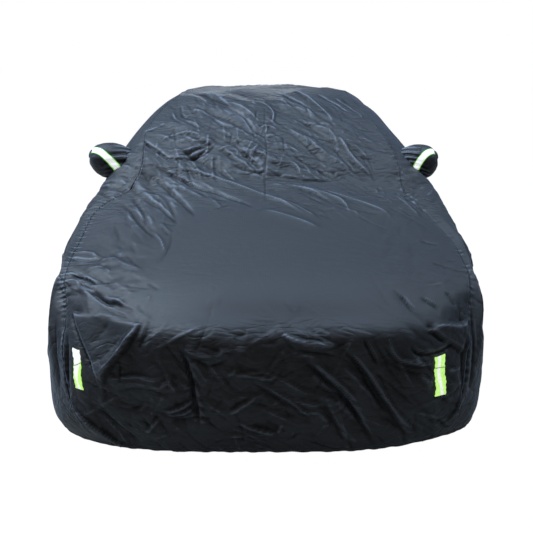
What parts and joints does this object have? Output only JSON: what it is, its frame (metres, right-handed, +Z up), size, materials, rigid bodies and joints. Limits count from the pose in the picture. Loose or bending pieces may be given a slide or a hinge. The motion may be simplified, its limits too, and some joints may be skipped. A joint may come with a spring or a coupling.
{
  "type": "fitted car cover",
  "caption": "Dark fitted cloth cover for a mid-size car, in its draped shape, with mirror pockets and reflective strips.",
  "frame": {"origin": "underside of the cloth at the middle of the roof, where the cover lies on the car", "axes": "+Z up, -Y towards the front of the car, +X towards the right side as seen when facing the front"},
  "size_m": [1.9853, 4.643, 1.2892],
  "materials": {
    "cover_cloth": "coated taffeta with a soft sheen",
    "mirror_tape": "silver reflective tape",
    "front_tape": "lime and silver reflective tape"
  },
  "bodies": {
    "root": {"centre_panel": "cover_cloth", "side_panel_left": "cover_cloth", "side_panel_right": "cover_cloth", "mirror_pocket_left": "cover_cloth", "mirror_pocket_right": "cover_cloth", "mirror_stripe_left": "mirror_tape", "mirror_stripe_right": "mirror_tape", "front_strip_left": "front_tape", "front_strip_right": "front_tape"}
  },
  "joints": []
}
